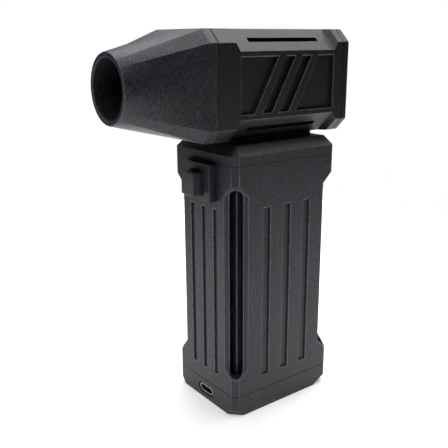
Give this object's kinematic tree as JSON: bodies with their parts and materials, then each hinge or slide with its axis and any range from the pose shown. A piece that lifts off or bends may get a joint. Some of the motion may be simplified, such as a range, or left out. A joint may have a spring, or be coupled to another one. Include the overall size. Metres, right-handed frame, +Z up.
{
  "type": "handheld turbo blower",
  "caption": "Upright battery handle with a push button under an octagonal fan head that blows through a tapering round nozzle.",
  "frame": {"origin": "centre of the flat face that the handle stands on", "axes": "+Z up the handle, -Y the way the nozzle blows, +X across the handle to the left as the blower points away"},
  "size_m": [0.04, 0.0958, 0.1506],
  "materials": {
    "nozzle_plastic": "grainy sintered matte",
    "housing_plastic": "fine grain matte",
    "inner_plastic": "matte",
    "switch_plastic": "smooth satin",
    "fan_plastic": "glass filled satin",
    "seal_rubber": "matte",
    "spinner_metal": "turned",
    "motor_aluminium": "machined",
    "bell_metal": "turned",
    "core_steel": "laminated",
    "copper_wire": "enamelled",
    "bearing_steel": "ground",
    "screw_steel": "black oxide",
    "spring_steel": "drawn wire",
    "magnet_nickel": "nickel plated",
    "nickel_strip": "rolled",
    "inlet_steel": "stamped",
    "cell_wrap": "shrink wrap",
    "board_laminate": "solder mask",
    "chip_epoxy": "moulded epoxy",
    "capacitor_can": "drawn",
    "lead_silicone": "silicone"
  },
  "bodies": {
    "casing": {"nozzle": "nozzle_plastic", "nozzle_seal": "seal_rubber", "fan_housing": "housing_plastic", "rear_cap": "housing_plastic", "rear_screws": "screw_steel", "intake_guard": "inner_plastic", "fan_duct": "inner_plastic", "tail_cone": "inner_plastic", "motor_mount": "motor_aluminium", "motor_stator": "core_steel", "motor_windings": "copper_wire", "front_bearing": "bearing_steel", "rear_bearing": "bearing_steel", "neck_plate": "housing_plastic", "neck_screws": "screw_steel", "top_cap": "housing_plastic", "handle_shell": "housing_plastic", "battery_sleeve": "inner_plastic", "bottom_cap": "housing_plastic", "bottom_screws": "screw_steel", "front_cell": "cell_wrap", "rear_cell": "cell_wrap", "lower_cell_holder": "inner_plastic", "upper_cell_holder": "inner_plastic", "cell_links": "nickel_strip", "control_board": "board_laminate", "board_standoffs": "inner_plastic", "control_chips": "chip_epoxy", "capacitor": "capacitor_can", "charge_board": "board_laminate", "charge_chips": "chip_epoxy", "inlet_shell": "inlet_steel", "inlet_tongue": "inner_plastic", "motor_leads": "lead_silicone", "battery_leads": "lead_silicone", "charge_leads": "lead_silicone", "switch_bezel": "switch_plastic", "switch_body": "inner_plastic", "button_spring": "spring_steel"},
    "rotor": {"impeller": "fan_plastic", "spinner": "spinner_metal", "motor_bell": "bell_metal", "rotor_magnets": "magnet_nickel", "motor_shaft": "bearing_steel", "shaft_nut": "spinner_metal"},
    "button": {"power_button": "switch_plastic"}
  },
  "joints": [
    {"name": "rotor_spin", "type": "hinge", "parent": "casing", "child": "rotor", "pos_m": [0, 0.013, 0.13096], "axis": [0, 1, 0], "continuous": true},
    {"name": "button_press", "type": "slide", "parent": "casing", "child": "button", "axis": [0, 1, 0], "range_m": [0, 0.0025], "stiffness_N_per_m": 600, "springref_m": -0.001, "deforming": ["button_spring"]}
  ]
}
